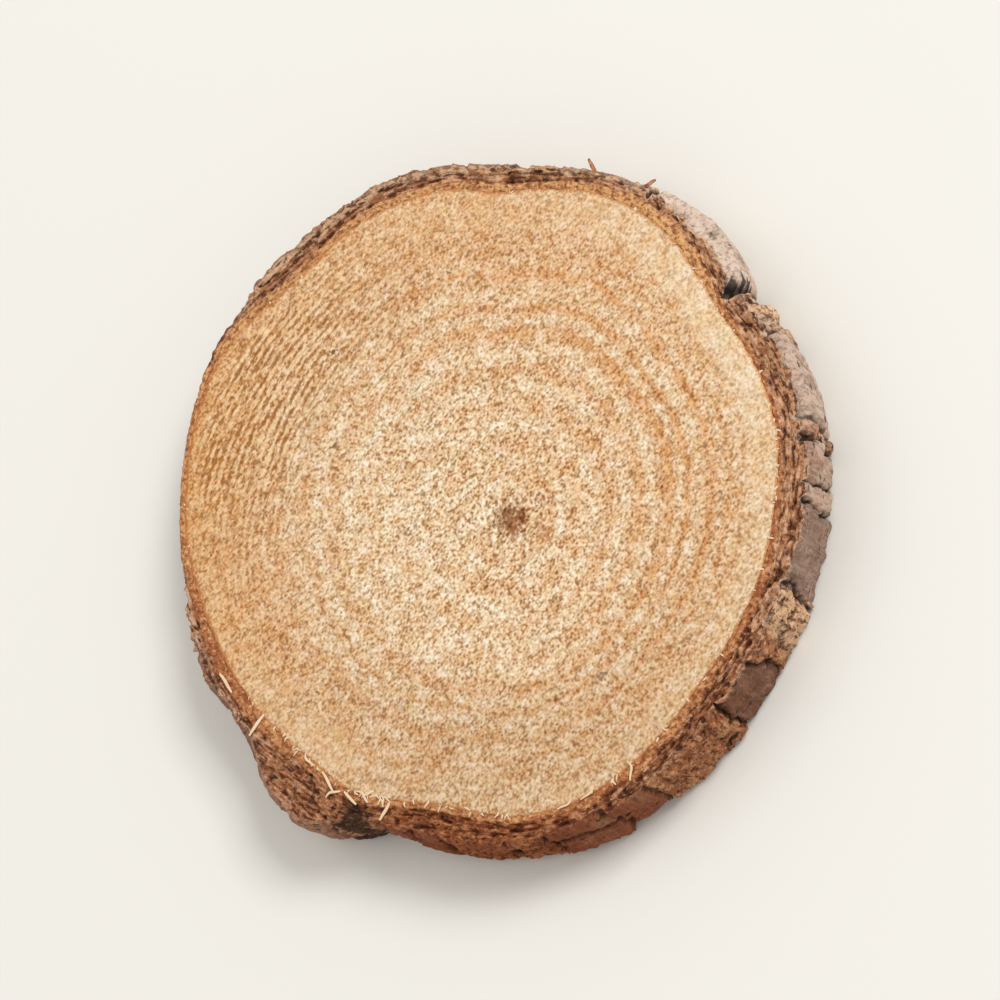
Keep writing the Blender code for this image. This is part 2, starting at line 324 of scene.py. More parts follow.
def makeBark():
    startClean()
    columns, sideRows, endRows, innerRows = (bark[name] for name in ("columns", "sideRows", "endRows", "innerRows"))
    section = sideRows + 2 * endRows + innerRows
    bpy.ops.mesh.primitive_grid_add(x_subdivisions=columns, y_subdivisions=section, size=2.0)
    piece = bpy.context.object
    piece.name = piece.data.name = "barkRing"
    flat = readPoints(piece)  # the flat grid is rolled up into a ring: x runs round the slice, y round the bark's section
    column = np.rint((flat[:, 0] + 1.0) / 2.0 * columns).astype(int) % columns
    row = np.rint((flat[:, 1] + 1.0) / 2.0 * section).astype(int) % section  # 0 is outermost, and rows go up from there

    thick = sliceShape["thickness"]
    degrees = np.arange(columns)[:, None] * 360.0 / columns
    wood, edge, swell = (roundValue(sliceShape[name], degrees) for name in ("woodEdge", "barkEdge", "barkSwell"))
    start, end = sliceShape["stripped"]
    skin = smoothStep(start - 1.0, start + 2.0, degrees) * (1.0 - smoothStep(end - 2.0, end + 1.0, degrees))
    fissures, slants, plates = drawFissures()

    # The outer side, row by row from the lower cut to the upper one.
    rim = roundPith(degrees, edge, 0.0)
    tornTop, tornLow = (
        (0.30 + 0.40 * grain(rim, (1.6, 1.6, 1.6), shift) + 0.30 * grain(rim, (0.7, 0.7, 0.7), shift + 5.0)).clip(0.04, 1.1) * (1.0 - 0.8 * skin)
        for shift in (3.0, 23.0))
    height = tornLow + (thick - tornTop - tornLow) * np.linspace(0.0, 1.0, sideRows)
    level = height / thick
    side = roundPith(degrees, edge, height)
    fromCut = np.minimum(height, thick - height)
    frayed = degrees + 8.0 * grain(side, (4.0, 4.0, 3.0), 37.0) + 2.5 * grain(side, (1.1, 1.1, 1.1), 38.0)
    sideSkin = smoothStep(start - 0.8, start + 0.8, frayed) * (1.0 - smoothStep(end - 0.8, end + 0.8, frayed))
    covered = 1.0 - sideSkin

    wander = degrees + 1.3 * grain(side, (3.5, 3.5, 3.0), 11.0) + 0.9 * grain(side, (1.1, 1.1, 0.8), 12.0)
    groove = np.zeros_like(height)
    cut = np.zeros_like(height)
    for (place, halfWidth, depth, isSeen), slant in zip(fissures, slants):
        off = np.abs(angleBetween(wander, place + slant * (level - 0.5))) / halfWidth
        here = 1.0 - smoothStep(0.12, 0.85 if isSeen else 0.85 * bark["narrowing"], off)
        if not isSeen:
            here = here * (0.25 + 0.75 * smoothStep(0.3, 2.5, fromCut))  # shallow where the photo shows an even outline
        groove = np.maximum(groove, depth * here)
        cut = np.maximum(cut, here * min(1.0, depth))
    starts = np.array([fissure[0] for fissure in fissures])
    which = np.searchsorted(starts, np.mod(wander, 360.0), side="right") - 1
    tone, torn, breakLevel, cracked, step = (np.array(values)[which] for values in zip(*plates))
    torn = (torn + 0.30 * grain(side, (2.4, 2.4, 3.0), 42.0)).clip(0.0, 1.0) * covered
    breakAt = breakLevel + 0.10 * grain(side, (4.0, 4.0, 50.0), 14.0) + 0.03 * grain(side, (0.8, 0.8, 50.0), 15.0)
    step = step * (1.0 - 2.0 * smoothStep(-0.02, 0.02, level - breakAt))
    crack = (1.0 - smoothStep(0.0, 0.035, np.abs(level - breakAt))) * cracked * covered

    flakes = 2.5 + 2.5 * grain(side, (7.0, 7.0, 3.5), 16.0) + 0.9 * grain(side, (1.6, 1.6, 1.0), 17.0)
    inFlake = flakes - np.floor(flakes)
    terrace = np.floor(flakes) + smoothStep(0.0, 0.22, inFlake) - 2.5
    flakeEdge = (1.0 - smoothStep(0.0, 0.25, inFlake)) * covered
    fibre = grain(side, (0.8, 0.8, 4.0), 18.0) + 0.8 * grain(side, (0.6, 0.6, 1.6), 19.0)
    scales = 3.0 * grain(side, (2.2, 2.2, 2.6), 24.0) + 1.2 * grain(side, (0.8, 0.8, 0.9), 25.0)
    scales = np.floor(scales) + smoothStep(0.0, 0.3, scales - np.floor(scales))
    fringe = (1.0 - smoothStep(0.2, 1.8, fromCut)) * covered
    radius = edge + swell * smoothStep(0.0, sliceShape["swellRun"], fromCut) - groove * covered + step * covered
    radius = radius + 0.12 * terrace * covered * (1.0 - 0.6 * torn) + torn * (0.22 * fibre + 0.16 * scales)
    radius = radius + 0.07 * grain(side, (1.1, 1.1, 3.0), 20.0) * covered * (1.0 - torn) - 0.35 * crack
    radius = radius + fringe * (0.28 * grain(side, (1.3, 1.3, 1.3), 26.0) + 0.20 * grain(side, (0.6, 0.6, 0.8), 27.0))
    radius = radius + 0.07 * grain(side, (0.6, 0.6, 0.6), 21.0) * (0.4 + 0.6 * covered)
    radius = radius - torn * 0.40 * smoothStep(0.15, 0.6, grain(side, (1.3, 1.3, 2.0), 22.0))
    radius = radius + sideSkin * (0.14 * grain(side, (0.8, 0.8, 6.0), 39.0) + 0.10 * grain(side, (0.5, 0.5, 2.0), 41.0))
    radius = np.maximum(radius, wood + bark["leastThickness"])
    outside = roundPith(degrees, radius, height)

    # The sawn ends, from the outside in to the wood: the same on both faces, with other noise.
    covered = 1.0 - skin
    across = np.linspace(1.0, 0.0, endRows + 1)[1:]
    ends = {}
    for name, outer, edgeDrop, shift in (("top", radius[:, -1:], tornTop, 33.0), ("low", radius[:, :1], tornLow, 93.0)):
        inner = wood + 0.03
        width = outer - inner
        fromWood = width * across
        spots = roundPith(degrees, inner + fromWood, 0.0)
        layers = roundPith(degrees, 45.0, 0.0) / 2.6  # layers of bark run round the slice
        lamina = np.stack(np.broadcast_arrays(layers[..., 0], layers[..., 1], fromWood / 0.55 + shift), axis=-1)
        pitted = smoothStep(0.1, 0.5, grain(lamina * (2.2, 2.2, 0.9), (1.0, 1.0, 1.0), 40.0))
        ragged = grain(lamina, (1.0, 1.0, 1.0)) + 0.7 * grain(spots, (0.8, 0.8, 0.8), shift) + 0.9 * pitted
        bandEdge = fromWood / roundValue(bark["innerWidth"], degrees)
        outerBark = smoothStep(0.75, 1.25, bandEdge + 0.5 * grain(spots, (1.6, 1.6, 1.6), shift + 3.0)) * covered
        ditch = np.exp(-((bandEdge - 1.1) / 0.2) ** 2) * covered
        drop = 0.09 + 0.09 * grain(spots, (0.9, 0.9, 0.9), shift + 2.0) + outerBark * (0.20 + 0.32 * ragged) + 0.12 * ditch
        toEdge = smoothStep(0.7, 1.0, across)
        drop = (drop * (1.0 - 0.7 * toEdge) + edgeDrop * 0.7 * toEdge).clip(0.0, 1.3)
        drop[:, -1] = 0.10
        spots[..., 2] = thick - drop if name == "top" else drop
        fromEdge = width * (1.0 - across) / roundValue(bark["outerWidth"], degrees)
        ends[name] = (spots, fromWood, np.broadcast_to(fromEdge, drop.shape), outerBark * ragged, lamina, bandEdge)

    half = sideRows // 2
    wall = roundPith(degrees, wood - bark["tuck"], np.linspace(thick - 0.5, 0.5, innerRows))

    def roll(onSide, onTop, onWall, onLow):  # puts the parts in the order of the grid's rows
        parts = [np.broadcast_to(part, (columns, count) + onSide.shape[2:]) for part, count in ((onTop, endRows), (onWall, innerRows), (onLow, endRows))]
        return np.concatenate([onSide[:, half:], parts[0], parts[1], parts[2][:, ::-1], onSide[:, :half]], axis=1)[column, row]

    movePoints(piece, roll(outside, ends["top"][0], wall, ends["low"][0]))
    on = np.ones_like(height)
    crustAndShade = sum(strength * np.exp(-(angleBetween(degrees, place) / halfWidth) ** 2) for place, halfWidth, strength in bark["crustsAndShade"])
    golden, ruddy, deep = (roundValue(bark[name], degrees).clip(0.0) for name in ("golden", "ruddy", "deep"))
    sideLamina = np.stack([side[..., 0] / 2.6, side[..., 1] / 2.6, side[..., 2]], axis=-1)
    for name, values in {
        "cutEnd": (0.0 * on, 1.0, 1.0, 1.0),
        "fromWood": (6.0 * on, ends["top"][1], 0.0, ends["low"][1]),
        "fromEdge": (0.0 * on, ends["top"][2], 3.0, ends["low"][2]),
        "ragged": (0.0 * on, ends["top"][3], 0.0, ends["low"][3]),
        "plateTone": (tone, tone[:, -1:], 0.5, tone[:, :1]),
        "torn": (torn, torn[:, -1:], 0.0, torn[:, :1]),
        "fissure": (np.maximum(cut * (1.0 - sideSkin), 0.8 * crack), 0.0, 0.0, 0.0),
        "flakeEdge": (flakeEdge, 0.0, 0.0, 0.0),
        "skin": (sideSkin, skin, skin, skin),
        "crustAndShade": (crustAndShade * on, crustAndShade, crustAndShade, crustAndShade),
        "golden": (0.0 * on, golden, 0.5, golden),
        "ruddy": (ruddy * on, ruddy, 0.0, ruddy),
        "deep": (deep * on, deep, 0.0, deep),
        "bandEdge": (3.0 * on, ends["top"][5], 0.0, ends["low"][5]),
        "lamina": (sideLamina, ends["top"][4], 0.0, ends["low"][4]),
    }.items():
        setAttribute(piece, name, roll(*values))
    closeUp(piece, 50.0)
    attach(piece, "root")
    print("bark made")
    return piece


# Loose strands: pale curls and splinters of wood fibre left by the saw, and slivers of bark at the edge.
strands = {
    "sides": 6,
    "rings": 6,
    "seed": 8,
    # Start and end in mm on the upper face, mm that it bows sideways, mm that it stands up, width in mm.
    "splinters": (
        ((-36.3, -22.6), (-34.3, -25.2), 0.1, 0.10, 0.45), ((-29.3, -28.3), (-31.2, -31.0), 0.0, 0.10, 0.50),
        ((-20.2, -36.1), (-18.4, -38.8), 0.1, 0.12, 0.42), ((-16.8, -38.8), (-15.0, -40.5), 0.0, 0.12, 0.42),
        ((-10.3, -40.4), (-11.5, -42.6), 0.1, 0.10, 0.48), ((22.0, -36.2), (22.5, -38.6), 0.4, 0.12, 0.36),
        ((-19.4, -39.5), (-17.4, -38.7), 0.3, 0.12, 0.40), ((-22.8, -33.6), (-21.4, -35.3), -0.3, 0.10, 0.36),
        ((-15.0, -38.8), (-13.4, -40.3), 0.3, 0.12, 0.40), ((17.6, -39.2), (16.0, -40.8), 0.3, 0.10, 0.30),
        ((14.8, -40.6), (12.9, -41.9), 0.3, 0.10, 0.30), ((-14.2, -39.0), (-12.6, -38.8), -0.3, 0.12, 0.38),
    ),
    # Stretches of the wood's rim with short fuzz: first and last degree, how many, shortest and longest in mm.
    "fuzz": (
        (222.0, 262.0, 26, 0.5, 1.2), (243.0, 247.0, 8, 0.7, 1.5), (262.0, 312.0, 8, 0.4, 0.9), (271.0, 273.0, 4, 0.5, 1.2),
        (295.0, 297.0, 4, 0.5, 1.1), (190.0, 222.0, 6, 0.4, 0.8), (312.0, 420.0, 40, 0.3, 0.7), (420.0, 550.0, 14, 0.3, 0.6),
    ),
    "fuzzWidth": (0.13, 0.30),
    # Slivers of bark: degrees, mm from the pith, length, turn from straight outwards in degrees.
    "slivers": (
        (79.0, 47.2, 2.6, 40.0), (70.2, 46.8, 1.8, -50.0), (139.4, 52.6, 1.6, 60.0), (202.5, 46.2, 1.8, 50.0), (96.0, 48.4, 1.5, -60.0),
        (88.0, 47.3, 1.7, 65.0), (106.0, 51.0, 1.6, 70.0), (196.0, 46.6, 1.5, -55.0), (212.0, 44.8, 1.4, 60.0), (66.0, 44.9, 1.6, 50.0),
    ),
}


def modelStrand():  # a straight strand along Z, one long and one wide, to copy, taper and bend
    startClean()
    bpy.ops.mesh.primitive_cylinder_add(vertices=strands["sides"], radius=0.5, depth=1.0, location=(0.0, 0.0, 0.5))
    bpy.ops.object.transform_apply(location=True, rotation=True, scale=True)
    strand = bpy.context.object
    startClean(strand)
    bpy.ops.object.mode_set(mode="EDIT")
    bpy.ops.mesh.select_all(action="DESELECT")
    bpy.ops.mesh.select_mode(type="EDGE")
    bpy.ops.object.mode_set(mode="OBJECT")
    points = strand.data.vertices
    for side in strand.data.edges:
        side.select = abs(points[side.vertices[0]].co.z - points[side.vertices[1]].co.z) > 0.5
    bpy.ops.object.mode_set(mode="EDIT")
    bpy.ops.mesh.subdivide(number_cuts=strands["rings"])
    bpy.ops.object.mode_set(mode="OBJECT")
    return strand


def bendStrand(model, name, start, end, bow, rise, width, thickness):  # lies from start to end, bowed and raised in the middle
    strand = model.copy()
    strand.data = model.data.copy()
    strand.name = name
    bpy.context.scene.collection.objects.link(strand)
    straight = readPoints(model)
    t = straight[:, 2:3]
    start, end = np.array(start, float), np.array(end, float)
    sideways = np.array([-(end - start)[1], (end - start)[0], 0.0])
    sideways /= max(np.linalg.norm(sideways), 1e-6)
    arch = 4.0 * t * (1.0 - t)
    wave = np.sin(t * 2.0 * math.pi) * 0.35
    middle = start + (end - start) * t + sideways * bow * (arch + wave) + np.array([0.0, 0.0, rise]) * arch
    taper = 0.45 + 0.55 * np.sin(math.pi * (0.12 + 0.80 * t))
    movePoints(strand, middle + sideways * straight[:, :1] * width * taper + np.array([0.0, 0.0, 1.0]) * straight[:, 1:2] * thickness * taper)
    return strand


def joinPieces(pieces, name):
    startClean(pieces[0])
    for piece in pieces:
        piece.select_set(True)
    bpy.ops.object.join()
    joined = bpy.context.object
    joined.name = joined.data.name = name
    closeUp(joined, 50.0)
    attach(joined, "root")
    return joined


def makeStrands():
    draw = random.Random(strands["seed"])
    model = modelStrand()
    thick = sliceShape["thickness"]
    pale = []
    for start, end, bow, rise, width in strands["splinters"]:
        pale.append(bendStrand(model, "splinter", (*start, thick + 0.03), (*end, thick + 0.0), bow, rise, width, 0.45 * width))
    for first, last, count, shortest, longest in strands["fuzz"]:
        for k in range(count):
            angle = draw.uniform(first, last)
            root = roundPith(angle, roundValue(sliceShape["woodEdge"], angle) + draw.uniform(-0.6, 0.1), thick - 0.02)
            way = math.radians(angle + draw.gauss(0.0, 60.0))
            length = draw.uniform(shortest, longest)
            tip = root + np.array([math.cos(way), math.sin(way), 0.0]) * length
            tip[2] = thick - draw.uniform(0.0, 0.15)
            width = draw.uniform(*strands["fuzzWidth"])
            pale.append(bendStrand(model, "fuzz", root, tip, draw.uniform(-0.25, 0.25) * length, draw.uniform(0.0, 0.12), width, 0.6 * width))
    dark = []
    for angle, radius, length, turned in strands["slivers"]:
        root = roundPith(angle, radius - 0.5, thick - 0.35)
        way = math.radians(angle + turned)
        tip = root + np.array([math.cos(way), math.sin(way), 0.0]) * length
        tip[2] = thick - draw.uniform(0.0, 0.5)
        dark.append(bendStrand(model, "sliver", root, tip, draw.uniform(-0.4, 0.4), 0.1, draw.uniform(0.45, 0.8), 0.25))
    bpy.data.objects.remove(model)
    fibres = joinPieces(pale, "woodFibres")
    slivers = joinPieces(dark, "barkSlivers")
    for name, value in (("plateTone", 0.4), ("torn", 0.9)):
        setAttribute(slivers, name, np.full(len(slivers.data.vertices), value))
    print("strands made")
    return fibres, slivers


# Materials
def colour(code):  # sRGB hex to linear
    parts = [int(code[k:k + 2], 16) / 255.0 for k in (0, 2, 4)]
    return (*(part / 12.92 if part <= 0.04045 else ((part + 0.055) / 1.055) ** 2.4 for part in parts), 1.0)


def addNode(tree, kind, inputs=None, output=0, **settings):  # inputs are values or sockets to link; gives an output socket
    node = tree.nodes.new(kind)
    for name, value in settings.items():
        setattr(node, name, value)
    for socket, value in (inputs or {}).items():
        if isinstance(value, bpy.types.NodeSocket):
            tree.links.new(value, node.inputs[socket])
        else:
            node.inputs[socket].default_value = value
    return node.outputs[output] if len(node.outputs) else None


def startMaterial(name):
    material = bpy.data.materials.new(name)
    material.use_nodes = True
    material.node_tree.nodes.clear()
    return material, material.node_tree


def setStops(ramp, stops):  # ramp is a Color Ramp's output; stops are (place, linear colour or grey)
    elements = ramp.node.color_ramp.elements
    while len(elements) < len(stops):
        elements.new(0.5)
    for element, (place, value) in zip(elements, stops):
        element.position = place
        element.color = value if isinstance(value, tuple) else (value, value, value, 1.0)


def drawPatterns(tree, place, patterns):  # one noise for each (size in mm along x, y and z; turn in degrees; detail)
    fields = []
    for k, (size, turn, detail) in enumerate(patterns):
        spots = {"Vector": place, "Location": (0.031 * k, 0.017 * k, 0.011 * k), "Rotation": (0.0, 0.0, math.radians(turn)),
                 "Scale": tuple(one * mm for one in size)}
        spots = addNode(tree, "ShaderNodeMapping", spots, vector_type="TEXTURE")
        fields.append(addNode(tree, "ShaderNodeTexNoise", {"Vector": spots, "Scale": 1.0, "Detail": detail, "Roughness": 0.55}))
    return fields


def paint(tree, tone, fields, layers):  # each layer: which field, value where it starts and is full, strength, colour
    for which, start, full, strength, code in layers:
        limits = {"Value": fields[which], "From Min": start, "From Max": full, "To Min": 0.0, "To Max": strength}
        mask = addNode(tree, "ShaderNodeMapRange", limits, interpolation_type="SMOOTHSTEP")
        tone = addNode(tree, "ShaderNodeMix", {0: mask, 6: tone, 7: colour(code)}, 2, data_type="RGBA")
    return tone


# Softwood cut across the grain by a coarse saw, dry and unsealed: a cream face of torn fibre ends.
woodFinish = {
    # Torn fibre from its deepest pits to its tips: the fibre's own mottled colour, with painted shade in the pits and
    # painted highlight on the tips.
    "fibre": ((0.03, "a07853"), (0.21, "c5a07a"), (0.35, "d7b895"), (0.5, "e4cbab"), (0.65, "eedbbf"), (0.79, "f8e9d0"), (0.97, "fff9ea")),
    "calm": "e3c9a9",            # the fibre's mean, which it nears where the saw cut cleaner
    # Tints that multiply the fibre: late wood of a year ring, warm sapwood, painted shade towards the lower rim, wide
    # patches, and the pith.
    "lateWood": "f0ccaa",
    "warmRim": "f0d1ae",
    # painted shade: a grey tint that darkens the face towards the lower rim
    "paintedShadeRim": "efebe6",
    "patch": "fef3e6",
    "yellow": "fbfcf3",
    "pith": "ae8f7e",
    "rimStain": "c98a50",
    "paleRing": "fff3de",
    "paleEdge": "f8ead2",
    # Where each year's wood is pale, 0, or dark, 1, from the pith to the bark.
    "rings": (
        (0.0, 0.4), (0.10, 0.3), (0.135, 0.6), (0.155, 0.45), (0.18, 0.1), (0.235, 0.65), (0.265, 0.4), (0.295, 0.05),
        (0.35, 0.7), (0.372, 0.5), (0.405, 0.1), (0.46, 0.75), (0.476, 0.5), (0.51, 0.05), (0.56, 0.75), (0.585, 1.0),
        (0.60, 0.4), (0.62, 0.2), (0.65, 1.0), (0.665, 0.4), (0.69, 0.2), (0.72, 0.5), (0.745, 1.0), (0.76, 0.45),
        (0.78, 0.3), (0.805, 0.7), (0.825, 0.35), (0.865, 0.55), (0.885, 0.25), (1.0, 0.2),
    ),
    "patterns": (  # size in mm along the saw, across it and down; turn; detail
        ((0.66, 0.54, 0.6), 58.0, 1.0), ((0.38, 0.32, 0.4), 58.0, 0.0), ((8.0, 6.0, 7.0), 20.0, 2.0),
        ((0.8, 0.65, 0.7), 58.0, 0.0), ((1.0, 0.42, 0.8), 62.0, 1.0), ((2.6, 2.2, 2.4), 40.0, 1.0),
        ((1.9, 1.6, 1.8), 10.0, 1.0),
    ),
    # painted shade: dark specks for the pits of the torn face
    "pits": ((3, 0.25, 0.17, 0.70, "8a5024"),),
    "roughness": 0.85,
    "shine": 0.2,
    # Marks on the upper face: place in mm from the middle, radius in mm, colour, strength.
    "marks": (
        ((8.8, -6.1), 1.6, "b5764a", 0.45), ((17.8, -25.1), 0.8, "7a6658", 0.7), ((-23.2, 20.4), 0.5, "5d4030", 0.8),
        ((-25.2, 18.0), 1.1, "a97848", 0.35), ((-10.5, -5.0), 0.6, "806852", 0.5), ((26.5, 3.5), 0.9, "cc8a55", 0.4),
        ((-21.8, 7.2), 0.5, "6b4d3a", 0.6), ((-13.0, 19.0), 0.5, "8a5f42", 0.5),
    ),
}


def woodMaterial():
    finish = woodFinish
    material, tree = startMaterial("sawnSoftwood")
    place = addNode(tree, "ShaderNodeTexCoord", output=3)
    growth, ringShow, warmRim, paintedShadeRim, paleEdge, relief, dashShow, dashRow = (
        addNode(tree, "ShaderNodeAttribute", None, 2, attribute_name=name)
        for name in ("growth", "ringShow", "warmRim", "paintedShadeRim", "paleEdge", "relief", "dashShow", "dashRow"))
    fields = drawPatterns(tree, place, finish["patterns"])
    coarse, fine, wide = fields[:3]

    fleck = addNode(tree, "ShaderNodeMath", {0: coarse, 1: 0.9, 2: fine}, operation="MULTIPLY_ADD")
    fleck = addNode(tree, "ShaderNodeMath", {0: fields[5], 1: 0.18, 2: fleck}, operation="MULTIPLY_ADD")
    fleck = addNode(tree, "ShaderNodeMapRange", {"Value": fleck, "From Min": 0.70, "From Max": 1.39})
    tone = addNode(tree, "ShaderNodeValToRGB", {0: fleck})
    setStops(tone, [(at, colour(code)) for at, code in finish["fibre"]])
    calm = addNode(tree, "ShaderNodeMapRange", {"Value": growth, "From Min": 0.25, "From Max": 0.6, "To Min": 0.0, "To Max": 0.16})
    tone = addNode(tree, "ShaderNodeMix", {0: calm, 6: tone, 7: colour(finish["calm"])}, 2, data_type="RGBA")
    tone = paint(tree, tone, fields, finish["pits"])

    wobble = addNode(tree, "ShaderNodeMath", {0: wide, 1: 0.04, 2: growth}, operation="MULTIPLY_ADD")
    wobble = addNode(tree, "ShaderNodeMath", {0: wobble, 1: 0.02}, operation="SUBTRACT")
    rings = addNode(tree, "ShaderNodeValToRGB", {0: wobble})
    setStops(rings, finish["rings"])
    broken = addNode(tree, "ShaderNodeMath", {0: fields[6], 1: 1.4, 2: 0.3}, operation="MULTIPLY_ADD")
    broken = addNode(tree, "ShaderNodeMath", {0: broken, 1: ringShow}, operation="MULTIPLY")
    late = addNode(tree, "ShaderNodeMath", {0: rings, 1: broken}, operation="MULTIPLY")
    early = addNode(tree, "ShaderNodeMapRange", {"Value": rings, "From Min": 0.5, "From Max": 0.1, "To Min": 0.0, "To Max": 0.08})
    early = addNode(tree, "ShaderNodeMath", {0: early, 1: broken}, operation="MULTIPLY")
    paleEdge = addNode(tree, "ShaderNodeMath", {0: paleEdge, 1: 0.4}, operation="MULTIPLY")
    patch = addNode(tree, "ShaderNodeMapRange", {"Value": fields[5], "From Min": 0.58, "From Max": 0.38})
    yellow = addNode(tree, "ShaderNodeMapRange", {"Value": fields[6], "From Min": 0.42, "From Max": 0.62})
    raggedGrowth = addNode(tree, "ShaderNodeMath", {0: coarse, 1: 0.14, 2: growth}, operation="MULTIPLY_ADD")
    pith = addNode(tree, "ShaderNodeMapRange", {"Value": raggedGrowth, "From Min": 0.150, "From Max": 0.094})
    rimStain = addNode(tree, "ShaderNodeMath", {0: coarse, 1: 0.03, 2: growth}, operation="MULTIPLY_ADD")
    rimStain = addNode(tree, "ShaderNodeMapRange", {"Value": rimStain, "From Min": 1.007, "From Max": 1.012, "To Min": 0.0, "To Max": 0.8})
    for mask, name in ((early, "paleRing"), (paleEdge, "paleEdge"), (rimStain, "rimStain")):
        tone = addNode(tree, "ShaderNodeMix", {0: mask, 6: tone, 7: colour(finish[name])}, 2, data_type="RGBA")
    for mask, name in ((warmRim, "warmRim"), (paintedShadeRim, "paintedShadeRim"), (late, "lateWood"), (patch, "patch"), (yellow, "yellow"), (pith, "pith")):
        tone = addNode(tree, "ShaderNodeMix", {0: mask, 6: tone, 7: colour(finish[name])}, 2, data_type="RGBA", blend_type="MULTIPLY")
    for (x, y), radius, code, strength in finish["marks"]:
        spot = (x * mm, y * mm, sliceShape["thickness"] * mm)
        away = addNode(tree, "ShaderNodeVectorMath", {0: place, 1: spot}, 1, operation="DISTANCE")
        away = addNode(tree, "ShaderNodeMath", {0: fine, 1: 2.0 * mm, 2: away}, operation="MULTIPLY_ADD")
        reach = {"Value": away, "From Min": (1.2 * radius + 1.0) * mm, "From Max": (0.3 * radius + 1.0) * mm, "To Min": 0.0, "To Max": strength}
        mask = addNode(tree, "ShaderNodeMapRange", reach, interpolation_type="SMOOTHSTEP")
        tone = addNode(tree, "ShaderNodeMix", {0: mask, 6: tone, 7: colour(code)}, 2, data_type="RGBA")
    # painted highlight on the raised fibre and painted shade where the face lies low
    tone = paint(tree, tone, [relief], ((0, 0.02, 0.12, 0.15, "ffecd0"), (0, -0.05, -0.2, 0.30, "a87448")))

    rowOf = addNode(tree, "ShaderNodeMath", {0: dashRow, 1: 2.0 * math.pi}, operation="MULTIPLY")
    rowOf = addNode(tree, "ShaderNodeMath", {0: rowOf}, operation="SINE")
    dash = addNode(tree, "ShaderNodeMath", {0: rowOf, 1: 0.12, 2: fields[4]}, operation="MULTIPLY_ADD")
    for start, full, strength, code in ((0.54, 0.65, 0.75, "91581f"), (0.45, 0.35, 0.45, "fbe3b8")):
        mask = addNode(tree, "ShaderNodeMapRange", {"Value": dash, "From Min": start, "From Max": full, "To Min": 0.0, "To Max": strength})
        mask = addNode(tree, "ShaderNodeMath", {0: mask, 1: dashShow}, operation="MULTIPLY")
        tone = addNode(tree, "ShaderNodeMix", {0: mask, 6: tone, 7: colour(code)}, 2, data_type="RGBA")

    height = addNode(tree, "ShaderNodeMath", {0: fine, 1: 0.7, 2: coarse}, operation="MULTIPLY_ADD")
    bump = addNode(tree, "ShaderNodeBump", {"Height": height, "Strength": 0.5, "Distance": 0.0002})
    shine = {"Base Color": tone, "Roughness": finish["roughness"], "Specular IOR Level": finish["shine"], "Normal": bump}
    shader = addNode(tree, "ShaderNodeBsdfPrincipled", shine)
    addNode(tree, "ShaderNodeOutputMaterial", {"Surface": shader})
    return material


# Strands of the same softwood, torn out by the saw: pale and smooth.
def fibreMaterial():
    material, tree = startMaterial("woodFibre")
    place = addNode(tree, "ShaderNodeTexCoord", output=3)
    fields = drawPatterns(tree, place, (((1.5, 1.5, 1.5), 0.0, 2.0),))
    tone = addNode(tree, "ShaderNodeMix", {0: fields[0], 6: colour("dcb789"), 7: colour("f8e6c8")}, 2, data_type="RGBA")
    bump = addNode(tree, "ShaderNodeBump", {"Height": fields[0], "Strength": 0.3, "Distance": 0.0001})
    shader = addNode(tree, "ShaderNodeBsdfPrincipled", {"Base Color": tone, "Roughness": 0.7, "Normal": bump})
    addNode(tree, "ShaderNodeOutputMaterial", {"Surface": shader})
    return material


